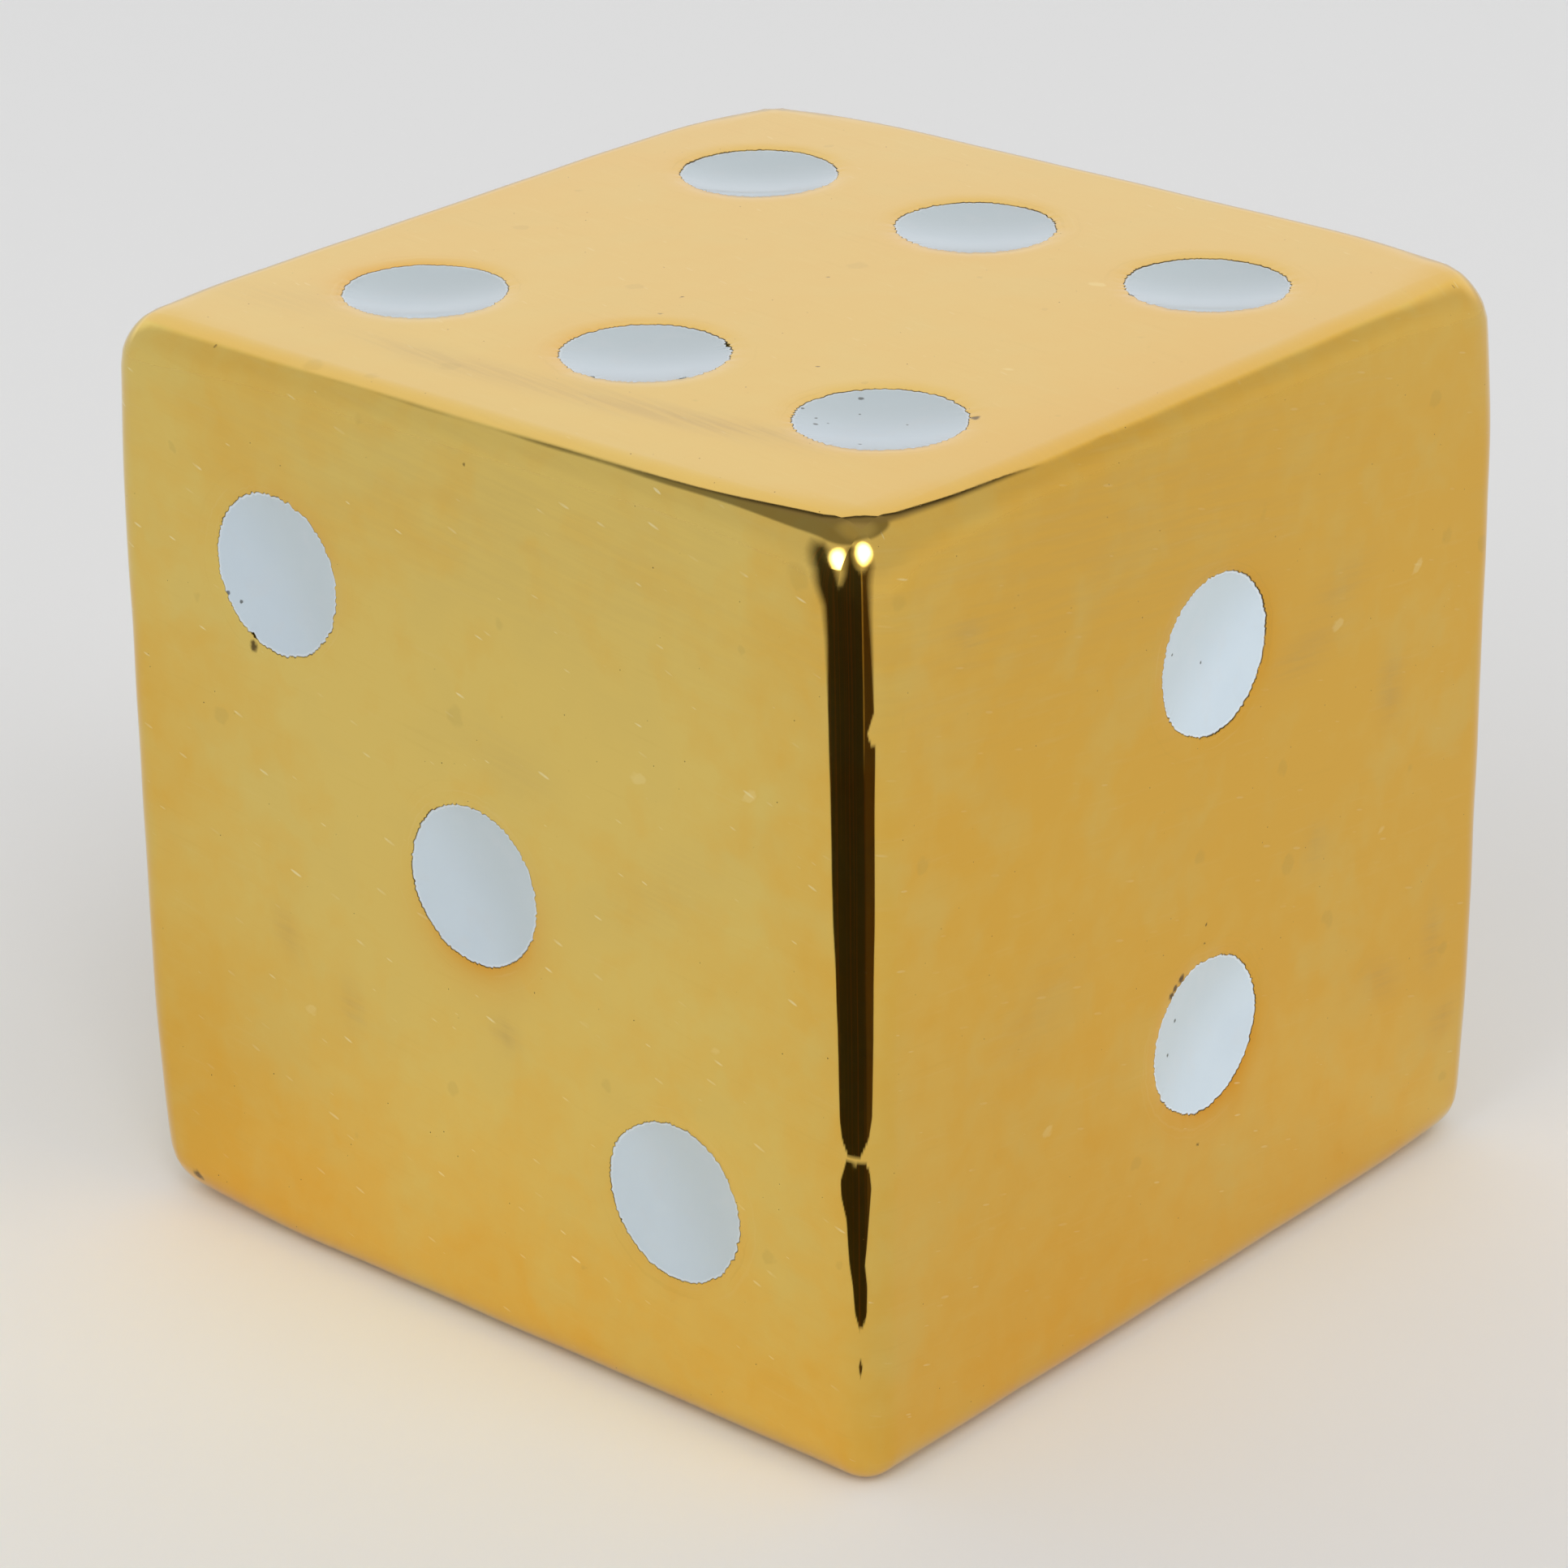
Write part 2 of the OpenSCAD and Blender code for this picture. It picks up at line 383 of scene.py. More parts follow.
bmesh.ops.remove_doubles(sewn, verts=sewn.verts, dist=stitch)
bmesh.ops.delete(sewn, geom=[vert for vert in sewn.verts if not vert.link_faces], context="VERTS")
sewn.to_mesh(block_mesh)
sewn.free()
block_mesh.shade_smooth()
block_crease = math.radians(40)
block_mesh.set_sharp_from_angle(angle=block_crease)


def add(tree, kind, inputs=(), **settings):
    """Adds a node to a tree. Its inputs, by name or number, take values or other nodes' outputs."""
    made = tree.nodes.new(kind)
    for name, value in settings.items():
        setattr(made, name, value)
    for name, value in dict(inputs).items():
        if isinstance(value, bpy.types.NodeSocket):
            tree.links.new(value, made.inputs[name])
        else:
            made.inputs[name].default_value = value
    return made


def reckon(tree, operation, *values, clamp=False):
    """Adds a sum to a tree and returns its output."""
    return add(tree, "ShaderNodeMath", dict(enumerate(values)),
               operation=operation, use_clamp=clamp).outputs[0]


def ramp(tree, value, low, high, to_low=0.0, to_high=1.0):
    """Adds a smooth step between two values and returns its output."""
    return add(tree, "ShaderNodeMapRange", {"Value": value, "From Min": low, "From Max": high,
               "To Min": to_low, "To Max": to_high}, interpolation_type="SMOOTHSTEP").outputs["Result"]


def tint(tree, share, first, second):
    """Adds a mix of two colours and returns its output."""
    return add(tree, "ShaderNodeMix", {"Factor": share, "A": first, "B": second},
               data_type="RGBA").outputs["Result"]


specks = bpy.data.node_groups.new("fine_specks", "ShaderNodeTree")
for name, kind, way in (("Place", "NodeSocketVector", "INPUT"), ("Spacing", "NodeSocketFloat", "INPUT"),
                        ("Size", "NodeSocketFloat", "INPUT"), ("Speck", "NodeSocketFloat", "OUTPUT")):
    specks.interface.new_socket(name, in_out=way, socket_type=kind)
inside = add(specks, "NodeGroupInput").outputs
cells = add(specks, "ShaderNodeTexVoronoi", {
    "Vector": inside["Place"], "Scale": reckon(specks, "DIVIDE", 1.0, inside["Spacing"])})
away = reckon(specks, "MULTIPLY", cells.outputs["Distance"], inside["Spacing"])
grain = add(specks, "ShaderNodeSeparateColor", {"Color": cells.outputs["Color"]}).outputs[0]
size = reckon(specks, "MULTIPLY", inside["Size"], reckon(specks, "ADD", grain, 0.25))
speck = ramp(specks, away, reckon(specks, "MULTIPLY", size, 0.6), size, 1.0, 0.0)
add(specks, "NodeGroupOutput", {"Speck": speck})


def new_material(name):
    """A material with nodes, its tree and its Principled BSDF."""
    material = bpy.data.materials.new(name)
    material.use_nodes = True
    return material, material.node_tree, material.node_tree.nodes["Principled BSDF"]


def clouds(tree, place, scale, detail):
    """Adds a noise and returns its value."""
    return add(tree, "ShaderNodeTexNoise", {
        "Vector": place, "Scale": scale, "Detail": detail}).outputs["Fac"]


def scatter(tree, place, spacing, size):
    """Adds the shared specks and returns their mask."""
    return add(tree, "ShaderNodeGroup", {"Place": place, "Spacing": spacing, "Size": size},
               node_tree=specks).outputs["Speck"]


def share_of(tree, mask, share):
    """Adds a product and returns it."""
    return reckon(tree, "MULTIPLY", mask, share)


def layered(tree, colour, *layers):
    """Adds colours laid one over another: where each lies, how much of it, and the colour."""
    for mask, share, over in layers:
        colour = tint(tree, share_of(tree, mask, share), colour, over)
    return colour


def wandering(tree, place, scale, reach):
    """Adds places that wander off by up to a reach, for ragged outlines and swirls."""
    stray = add(tree, "ShaderNodeTexNoise", {
        "Vector": place, "Scale": scale, "Detail": 3.0}).outputs["Color"]
    for operation, inputs in (("SUBTRACT", {1: (0.5, 0.5, 0.5)}), ("SCALE", {"Scale": 2 * reach}),
                              ("ADD", {1: place})):
        stray = add(tree, "ShaderNodeVectorMath", {0: stray, **inputs}, operation=operation).outputs[0]
    return stray


def marked(tree, place, marks, core):
    """Adds marks: place and reach in millimetres, strength. A mark is full out to a share of its reach."""
    mask = 0.0
    for spot, reach, strength in marks:
        away = add(tree, "ShaderNodeVectorMath", {0: place, 1: [part / 1000 for part in spot]},
                   operation="DISTANCE").outputs["Value"]
        mark = ramp(tree, away, reach * core / 1000, reach / 1000, strength, 0.0)
        mask = reckon(tree, "MAXIMUM", mask, mark)
    return mask


nicks = (                # dents and pits that stay dark, in millimetres: place, reach, share of dark
    ((-27.7, -39.3, 77.7), 0.24, 0.50), ((-34.4, -40.3, 2.8), 0.75, 0.80), ((39.3, -39.3, 63.0), 0.25, 0.70),
    ((29.5, -15.6, 78.3), 0.50, 0.80), ((-23.8, -40.7, 53.8), 0.68, 0.90), ((40.0, -2.2, 29.8), 0.55, 0.90),
    ((40.0, -3.0, 29.3), 0.50, 0.85), ((40.0, -3.4, 28.8), 0.60, 0.90), ((40.0, 7.2, 57.6), 0.40, 0.75),
    ((40.0, 0.7, 31.9), 0.20, 0.75), ((40.0, 0.8, 33.6), 0.18, 0.75), ((40.0, 0.3, 14.2), 0.24, 0.80),
    ((0.4, -40.7, 74.8), 0.26, 0.65), ((3.5, -40.7, 55.2), 0.18, 0.90), ((-0.4, 2.5, 78.4), 0.26, 0.75),
    ((-6.2, -8.6, 78.4), 0.30, 0.70), ((-4.9, -12.7, 78.4), 0.24, 0.60), ((13.1, -14.5, 78.4), 0.24, 0.60),
    ((38.3, 34.6, 77.3), 0.24, 0.60), ((-11.0, 40.7, 44.0), 0.40, 0.80), ((-40.0, 12.0, 51.0), 0.36, 0.80),
    ((-39.2, -6.0, 77.6), 0.45, 0.75),
)
brass, tree, shader = new_material("polished_brass")
textures = add(tree, "ShaderNodeTexCoord").outputs
place = textures["Object"]
plan = add(tree, "ShaderNodeUVMap", uv_map="face_plan").outputs["UV"]
rim, warmed, smudge, lip = (add(tree, "ShaderNodeAttribute", attribute_name=name).outputs["Fac"]
                            for name in ("rim_distance", "tarnish_and_warm_reflection", "smudge", "lip_reflection"))


def along_buffing(stretch, turn):
    """Places on a face in metres, drawn out along the way it was buffed."""
    return add(tree, "ShaderNodeMapping", {
        "Vector": plan, "Rotation": (0, 0, math.radians(turn)), "Scale": (1000 * stretch, 1000, 1000)},
        vector_type="TEXTURE").outputs["Vector"]


# Masks of what the casting, the buffing and the handling left on the metal, and of painted light: highlight
# flecks and glints, warm reflection and the top's tone
swirled = wandering(tree, place, 190.0, 0.0016)
cloud = clouds(tree, place, 60.0, 3.0)
mottle = clouds(tree, swirled, 330.0, 3.0)
green = clouds(tree, swirled, 130.0, 3.0)
streak = clouds(tree, along_buffing(16, -7), 1700.0, 3.0)
haze = clouds(tree, along_buffing(5, -7), 500.0, 4.0)
pit = scatter(tree, place, 0.00150, 0.000060)
blotch = scatter(tree, wandering(tree, place, 700.0, 0.0006), 0.0085, 0.0010)
# painted highlights: bright flecks and glints where light catches fine scratches
highlight_fleck = scatter(tree, wandering(tree, along_buffing(5, -17), 900.0, 0.00016), 0.0009, 0.000115)
highlight_fleck = reckon(tree, "MULTIPLY", highlight_fleck, ramp(tree, mottle, 0.38, 0.62, 0.2, 1.0))
highlight_fleck = reckon(tree, "MULTIPLY", highlight_fleck, ramp(tree, warmed, 0.3, 0.9, 1.0, 0.25))
glint = scatter(tree, wandering(tree, along_buffing(1.6, 20), 900.0, 0.0006), 0.0070, 0.00050)
scratch = scatter(tree, along_buffing(60, 14), 0.0017, 0.000035)
east, north, height = add(tree, "ShaderNodeSeparateXYZ", {"Vector": place}).outputs
drag = clouds(tree, add(tree, "ShaderNodeCombineXYZ", {
    "X": share_of(tree, rim, 2.6), "Y": share_of(tree, east, 90.0),
    "Z": share_of(tree, reckon(tree, "ADD", north, height), 90.0)}).outputs["Vector"], 1.0, 2.0)
near_rim = ramp(tree, rim, 0.2, 3.2, 1.0, 0.0)
upward = add(tree, "ShaderNodeSeparateXYZ", {"Vector": textures["Normal"]}).outputs["Z"]
on_top = ramp(tree, upward, 0.83, 0.89)
highlight_fleck = reckon(tree, "MULTIPLY", highlight_fleck, reckon(tree, "MULTIPLY_ADD", on_top, -0.75, 1.0))
nick = marked(tree, wandering(tree, place, 1600.0, 0.00032), nicks, 0.4)
greenish = ramp(tree, green, 0.46, 0.72)
patchy = reckon(tree, "MULTIPLY", ramp(tree, warmed, 0.3, 0.9, 1.0, 0.65),
                reckon(tree, "MULTIPLY_ADD", on_top, -0.55, 1.0))
drift = share_of(tree, reckon(tree, "SUBTRACT", cloud, 0.5), 0.8)
drift = reckon(tree, "MULTIPLY_ADD", reckon(tree, "SUBTRACT", mottle, 0.5), 0.9, drift)
drift = reckon(tree, "MULTIPLY_ADD", greenish, -0.30, drift)
warmth = reckon(tree, "MULTIPLY_ADD", drift, patchy, warmed, clamp=True)
film = reckon(tree, "MULTIPLY", smudge, ramp(tree, streak, 0.35, 0.62, 0.45, 1.0))
bright_drag = reckon(tree, "MULTIPLY", near_rim, ramp(tree, drag, 0.60, 0.72))
dark_drag = reckon(tree, "MULTIPLY", near_rim, ramp(tree, drag, 0.28, 0.40, 1.0, 0.0))
stain = reckon(tree, "MULTIPLY", ramp(tree, rim, 0.0, 0.10, 0.90, 0.0),
               ramp(tree, mottle, 0.42, 0.60, 0.45, 1.0))
dark = reckon(tree, "MAXIMUM", share_of(tree, pit, 0.85), nick)

# The colours, from the bare metal up to the pits and nicks
# warm_brass is where the brass is warmest: partly tarnish, partly painted warm reflection of the gold-lit
# floor
plain_brass, warm_brass = (0.795, 0.580, 0.152, 1), (0.795, 0.458, 0.068, 1)
colour = layered(
    tree, tint(tree, warmth, plain_brass, warm_brass),
    (greenish, 0.14, (0.660, 0.500, 0.150, 1)),
    # painted reflection: the upward faces are tinted peach, standing in for the light they mirror
    (on_top, 0.50, (0.760, 0.485, 0.145, 1)),
    (ramp(tree, streak, 0.58, 0.80), 0.10, (0.86, 0.68, 0.28, 1)),
    (ramp(tree, streak, 0.22, 0.42, 1.0, 0.0), 0.09, (0.60, 0.37, 0.07, 1)),
    # painted reflection: the warm glow on one side of each pocket's lip
    (lip, 0.85, (0.780, 0.345, 0.030, 1)),
    (film, 0.55, (0.500, 0.325, 0.115, 1)),
    (blotch, 0.16, (0.430, 0.310, 0.085, 1)),
    (bright_drag, 0.12, (0.88, 0.72, 0.34, 1)),
    (dark_drag, 0.14, (0.55, 0.34, 0.06, 1)),
    # painted highlights: the bright flecks and glints
    (highlight_fleck, 0.60, (0.96, 0.86, 0.50, 1)),
    (glint, 0.26, (0.95, 0.80, 0.36, 1)),
    (scratch, 0.30, (0.50, 0.31, 0.06, 1)),
    (stain, 1.0, (0.12, 0.07, 0.02, 1)),
    (dark, 1.0, (0.075, 0.046, 0.018, 1)))
tree.links.new(colour, shader.inputs["Base Color"])

# The finish: a mirror with some haze, dull where it is stained, and a faint relief
rough = ramp(tree, haze, 0.35, 0.75, 0.03, 0.07)
rough = reckon(tree, "MULTIPLY_ADD", reckon(tree, "ADD", stain, dark), 0.3, rough)
rough = reckon(tree, "MULTIPLY_ADD", reckon(tree, "ADD", highlight_fleck, film), 0.10, rough)
tree.links.new(rough, shader.inputs["Roughness"])
relief = reckon(tree, "MULTIPLY_ADD", mottle, 0.30, share_of(tree, streak, 0.03))
relief = reckon(tree, "MULTIPLY_ADD", reckon(tree, "ADD", dark, scratch), -0.6, relief)
relief_depth = 0.000012
bump = add(tree, "ShaderNodeBump", {"Height": relief, "Strength": 1.0, "Distance": relief_depth})
tree.links.new(bump.outputs["Normal"], shader.inputs["Normal"])
shader.inputs["Metallic"].default_value = 1.0
block_mesh.materials.append(brass)
block = bpy.data.objects.new("brass_block", block_mesh)
scene.collection.objects.link(block)
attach(block, "root")
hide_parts("body")


# The 21 pips. Glassy white enamel, flooded into each pocket, fired and left a little dished, so it
# follows the pocket's ragged rim with a dark hairline round it and small flakes lost along it.
pip_tree = bpy.data.node_groups.new("enamel_pip", "GeometryNodeTree")
pip_inputs = {}
for name, kind in (("Pocket Rim", "NodeSocketGeometry"), ("Segments", "NodeSocketInt"),
                   ("Rings", "NodeSocketInt"), ("Radius", "NodeSocketFloat"),
                   ("Seam", "NodeSocketFloat"), ("Flake", "NodeSocketFloat"),
                   ("Rim Drop", "NodeSocketFloat"), ("Dish Depth", "NodeSocketFloat"),
                   ("Floor Depth", "NodeSocketFloat"), ("Painted Light Turn", "NodeSocketFloat"),
                   ("Seed", "NodeSocketFloat"), ("Enamel", "NodeSocketMaterial")):
    pip_inputs[name] = pip_tree.interface.new_socket(name, in_out="INPUT", socket_type=kind).identifier
pip_tree.interface.new_socket("Pip", in_out="OUTPUT", socket_type="NodeSocketGeometry")
given = add(pip_tree, "NodeGroupInput").outputs
rim_curve = add(pip_tree, "GeometryNodeMeshToCurve", {"Mesh": given["Pocket Rim"]}).outputs["Curve"]
courses = 3.0            # a sheet is drawn over the pip: its top from the middle out, its wall, its floor
sheet_rows = reckon(pip_tree, "ADD", reckon(pip_tree, "MULTIPLY", given["Rings"], courses), 1.0)
sheet = add(pip_tree, "GeometryNodeMeshGrid", {
    "Size X": 1.0, "Size Y": 1.0, "Vertices X": reckon(pip_tree, "ADD", given["Segments"], 1.0),
    "Vertices Y": sheet_rows})
spot = add(pip_tree, "ShaderNodeSeparateXYZ", {
    "Vector": add(pip_tree, "GeometryNodeInputPosition").outputs["Position"]}).outputs
turn = reckon(pip_tree, "ADD", spot["X"], 0.5, clamp=True)
course = reckon(pip_tree, "MULTIPLY", reckon(pip_tree, "ADD", spot["Y"], 0.5), courses)
rim_spot = add(pip_tree, "GeometryNodeSampleCurve", {"Curves": rim_curve, "Factor": turn},
               mode="FACTOR", use_all_curves=True).outputs["Position"]
seed_shift = add(pip_tree, "ShaderNodeCombineXYZ", {"Z": given["Seed"]}).outputs["Vector"]
seeded_spot = add(pip_tree, "ShaderNodeVectorMath", {
    0: rim_spot, 1: seed_shift}, operation="ADD").outputs[0]
flaked = clouds(pip_tree, seeded_spot, 420.0, 3.0)
flaked = reckon(pip_tree, "MULTIPLY", ramp(pip_tree, flaked, 0.66, 0.74), given["Flake"])
whole = add(pip_tree, "ShaderNodeVectorMath", {0: rim_spot}, operation="LENGTH").outputs["Value"]
shrunk = reckon(pip_tree, "SUBTRACT", reckon(pip_tree, "SUBTRACT", whole, given["Seam"]), flaked)
top_share = reckon(pip_tree, "MINIMUM", course, 1.0)
floor_share = reckon(pip_tree, "MAXIMUM", reckon(pip_tree, "SUBTRACT", course, 2.0), 0.0)
wall_share = reckon(pip_tree, "SUBTRACT", course, 1.0, clamp=True)
reach = reckon(pip_tree, "SUBTRACT", top_share, floor_share)
rim_hold = 12.0          # keeps the raggedness of the rim to the outermost rings
strayed = reckon(pip_tree, "MULTIPLY", reckon(pip_tree, "SUBTRACT", shrunk, given["Radius"]),
                 reckon(pip_tree, "POWER", reach, rim_hold))
smooth_reach = reckon(pip_tree, "MULTIPLY", reckon(pip_tree, "ADD", given["Radius"], strayed), reach)
scale = reckon(pip_tree, "DIVIDE", smooth_reach, whole)
flat_spot = add(pip_tree, "ShaderNodeVectorMath", {
    0: rim_spot, "Scale": scale}, operation="SCALE").outputs[0]
hollow = reckon(pip_tree, "MULTIPLY", given["Dish Depth"],
                reckon(pip_tree, "SUBTRACT", 1.0, reckon(pip_tree, "MULTIPLY", top_share, top_share)))
wall = reckon(pip_tree, "MULTIPLY", wall_share,
              reckon(pip_tree, "SUBTRACT", given["Floor Depth"], given["Rim Drop"]))
down = reckon(pip_tree, "ADD", given["Rim Drop"], reckon(pip_tree, "ADD", hollow, wall))
place = add(pip_tree, "ShaderNodeVectorMath", {
    0: flat_spot, 1: add(pip_tree, "ShaderNodeCombineXYZ", {
        "Z": reckon(pip_tree, "MULTIPLY", down, -1.0)}).outputs["Vector"]}, operation="ADD").outputs[0]
# painted shading of the dish: how far each point lies towards the pip's lighter side
painted_light_way = add(pip_tree, "ShaderNodeCombineXYZ", {
    "X": reckon(pip_tree, "COSINE", given["Painted Light Turn"]),
    "Y": reckon(pip_tree, "SINE", given["Painted Light Turn"])}).outputs["Vector"]
painted_light_side = reckon(pip_tree, "DIVIDE", add(pip_tree, "ShaderNodeVectorMath", {
    0: flat_spot, 1: painted_light_way}, operation="DOT_PRODUCT").outputs["Value"], given["Radius"])
formed = sheet.outputs["Mesh"]
for name, value in (("rim_share", reach), ("painted_light_side", painted_light_side)):
    formed = add(pip_tree, "GeometryNodeStoreNamedAttribute", {
        "Geometry": formed, "Name": name, "Value": value},
        data_type="FLOAT", domain="POINT").outputs["Geometry"]
formed = add(pip_tree, "GeometryNodeSetPosition", {
    "Geometry": formed, "Position": place}).outputs["Geometry"]
weld = 1e-7              # closes the sheet's seam and its two poles
formed = add(pip_tree, "GeometryNodeMergeByDistance", {
    "Geometry": formed, "Distance": weld}).outputs["Geometry"]
formed = add(pip_tree, "GeometryNodeFlipFaces", {"Mesh": formed}).outputs["Mesh"]
formed = add(pip_tree, "GeometryNodeRealizeInstances", {"Geometry": formed}).outputs["Geometry"]
formed = add(pip_tree, "GeometryNodeSetMaterial", {
    "Geometry": formed, "Material": given["Enamel"]}).outputs["Geometry"]
add(pip_tree, "NodeGroupOutput", {"Pip": formed})

soot_spots = (           # specks fired into the enamel, in millimetres: place and reach
    ((19.6, -17.1, 77.9), 0.32), ((20.5, -23.4, 77.9), 0.28), ((17.9, -21.9, 78.1), 0.20),
    ((19.7, -22.4, 77.9), 0.20), ((20.9, -22.4, 77.8), 0.16), ((21.3, -19.2, 77.7), 0.15),
    ((25.8, -24.6, 77.9), 0.22), ((25.4, -18.6, 77.6), 0.15), ((39.3, -3.1, 23.3), 0.20),
    ((39.3, -2.2, 26.0), 0.24), ((39.5, -3.8, 57.9), 0.20), ((39.0, 0.5, 55.8), 0.17),
    ((-26.6, -40.4, 57.6), 0.24), ((-25.3, -40.2, 57.1), 0.22),
)
soot_dark = 0.85         # how much of the white a speck hides
painted_light_turn = {            # the way, in degrees, towards which each face's pips are painted lighter: painted shading of the dished enamel, darker on the opposite side
    "one": -90, "two": -50, "three": -145, "four": -120, "five": -60, "six": -50,
}
enamel_sunk = 0.00012    # how far the enamel shrank below the lip of its pocket
enamel, tree, shader = new_material("white_enamel")
place = add(tree, "ShaderNodeTexCoord").outputs["Object"]
rim, painted_light_side = (add(tree, "ShaderNodeAttribute", attribute_name=name).outputs["Fac"]
               for name in ("rim_share", "painted_light_side"))
milk = clouds(tree, place, 160.0, 3.0)
veil = clouds(tree, place, 420.0, 3.0)
dirt = scatter(tree, place, 0.0030, 0.000085)
soiled = reckon(tree, "MULTIPLY", ramp(tree, rim, 0.982, 0.998), ramp(tree, veil, 0.40, 0.62))
soot = marked(tree, wandering(tree, place, 2200.0, 0.00014),
              [(spot, reach, soot_dark) for spot, reach in soot_spots], 0.5)
thin_white, full_white = (0.560, 0.655, 0.730, 1), (0.585, 0.680, 0.750, 1)
colour = layered(
    tree, tint(tree, ramp(tree, milk, 0.3, 0.7), thin_white, full_white),
    # painted shade: darker on the side of each pip away from its lighter way
    (ramp(tree, painted_light_side, -0.60, 0.55, 1.0, 0.0), 0.85, (0.510, 0.585, 0.615, 1)),
    (ramp(tree, veil, 0.52, 0.74), 0.22, (0.590, 0.630, 0.660, 1)),
    # painted highlight: a pale ring just inside the enamel's edge, where light catches its rounded rim
    (ramp(tree, rim, 0.966, 0.980), 0.45, (0.780, 0.830, 0.860, 1)),
    (soiled, 0.55, (0.300, 0.290, 0.230, 1)),
    (dirt, 0.75, (0.16, 0.16, 0.14, 1)),
    (soot, 1.0, (0.060, 0.062, 0.055, 1)))
tree.links.new(colour, shader.inputs["Base Color"])
shader.inputs["Roughness"].default_value = 0.08
shader.inputs["IOR"].default_value = 1.52

dish_depths = (0.00060, 0.00080)
enamel_rings, deepest_flake = 12, 0.0003
enamel_crease = math.radians(50)
draws = random.Random(21)
for pip in pips:
    loop = np.c_[pip.outline(), np.zeros(pip.rim_points)]
    links = [(k, (k + 1) % pip.rim_points) for k in range(pip.rim_points)]
    rim_mesh = bpy.data.meshes.new(pip.name + "_rim")
    rim_mesh.from_pydata(loop.tolist(), links, [])
    enamel_pip = bpy.data.objects.new("enamel_" + pip.name, rim_mesh)
    scene.collection.objects.link(enamel_pip)
    forming = enamel_pip.modifiers.new("enamel_pip", "NODES")
    forming.node_group = pip_tree
    for name, value in (("Segments", pip.rim_points), ("Rings", enamel_rings),
                        ("Radius", pip.radius), ("Seam", pocket_seam / 2), ("Flake", deepest_flake),
                        ("Rim Drop", pip.drop + enamel_sunk),
                        ("Dish Depth", draws.uniform(*dish_depths)), ("Floor Depth", pip.depth),
                        ("Painted Light Turn", math.radians(painted_light_turn[pip.face])),
                        ("Seed", draws.uniform(0, 5)), ("Enamel", enamel)):
        forming[pip_inputs[name]] = value
    formed_mesh = bpy.data.meshes.new_from_object(
        enamel_pip.evaluated_get(bpy.context.evaluated_depsgraph_get()))
    enamel_pip.modifiers.clear()
    enamel_pip.data = formed_mesh
    formed_mesh.name = "enamel_" + pip.name
    formed_mesh.transform(pip.to_block)
    formed_mesh.shade_smooth()
    formed_mesh.set_sharp_from_angle(angle=enamel_crease)
    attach(enamel_pip, "root")
    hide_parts(pip.name)


# The floor: a round sheet of plain white paper, laid flat. It takes the die's shadow, and the lower
# part of the die's sides mirrors it.
floor_reach, floor_sides = 0.9, 96
floor_mesh = bpy.data.meshes.new("floor")
floor_mesh.from_pydata([(floor_reach * math.cos(turn), floor_reach * math.sin(turn), 0) for turn in
                        np.arange(floor_sides) * 2 * math.pi / floor_sides], [], [range(floor_sides)])
paper, _, shader = new_material("white_paper")
shader.inputs["Base Color"].default_value = (0.92, 0.92, 0.92, 1)
shader.inputs["Roughness"].default_value = 0.9
shader.inputs["Specular IOR Level"].default_value = 0.1
floor_mesh.materials.append(paper)
floor = bpy.data.objects.new("floor", floor_mesh)
scene.collection.objects.link(floor)


# The studio: pale walls that go on from the floor, a brighter sheet hung behind the die from a dark
# rail, and a dim ceiling. In front stand two softboxes, which show only in reflections and fade
# towards their edges, and three fill lamps, which light the floor and the enamel and show nowhere.
def heading(side):
    """The level direction that lies this many degrees round from the front, towards the right."""
    return Vector((math.sin(math.radians(side)), -math.cos(math.radians(side)), 0))


studio = bpy.data.worlds.new("studio")
studio.use_nodes = True
tree = studio.node_tree
direction = add(tree, "ShaderNodeTexCoord").outputs["Generated"]
height = add(tree, "ShaderNodeSeparateXYZ", {"Vector": direction}).outputs["Z"]
just_over_one = 1.0001   # so that straight up has a level part too
level = reckon(tree, "SQRT", reckon(
    tree, "SUBTRACT", just_over_one, reckon(tree, "MULTIPLY", height, height)))


def facing(side):
    """How nearly a direction faces a side, from -1 to 1."""
    along = add(tree, "ShaderNodeVectorMath", {0: direction, 1: heading(side)}, operation="DOT_PRODUCT")
    return reckon(tree, "DIVIDE", along.outputs["Value"], level)


def tilted(base, *leans):
    """A value that changes round the room: a base, and how far it leans towards each side."""
    for towards, lean in leans:
        base = reckon(tree, "MULTIPLY_ADD", towards, lean, base)
    return base


ceiling_light, sheet_light, high_wall_light = 0.25, 0.98, 0.69
rail_light, skylight = 0.05, 0.38
camera_side, lamp_side = 41, 75
behind, left = facing(camera_side + 180), facing(camera_side + 270)
wall_light = tilted(0.757, (facing(lamp_side), 0.04))   # as bright as the far floor under it
ahead_only = reckon(tree, "MAXIMUM", reckon(tree, "MULTIPLY", behind, -1.0), 0.0)
behind_only = reckon(tree, "MAXIMUM", behind, 0.0)
sheet_top = tilted(0.575, (left, 0.064), (behind, 0.234))
wall_top = tilted(0.83, (ahead_only, 0.08), (left, -0.05), (behind_only, -0.07))
ceiling = ramp(tree, height, 0.90, 0.98, ceiling_light, skylight)
past_sheet = reckon(tree, "SUBTRACT", height, sheet_top)
sheet_hem, rail_fade, wall_hem = 0.01, 0.08, 0.025   # how softly the sheet, its rail and the walls end
sheet = ramp(tree, past_sheet, -sheet_hem, sheet_hem,
             ramp(tree, height, 0.0, 0.2, wall_light, sheet_light),
             ramp(tree, past_sheet, sheet_hem, rail_fade, rail_light, ceiling))
walls = ramp(tree, reckon(tree, "SUBTRACT", height, wall_top), -wall_hem, wall_hem,
             ramp(tree, height, 0.0, 0.55, wall_light, high_wall_light), ceiling)
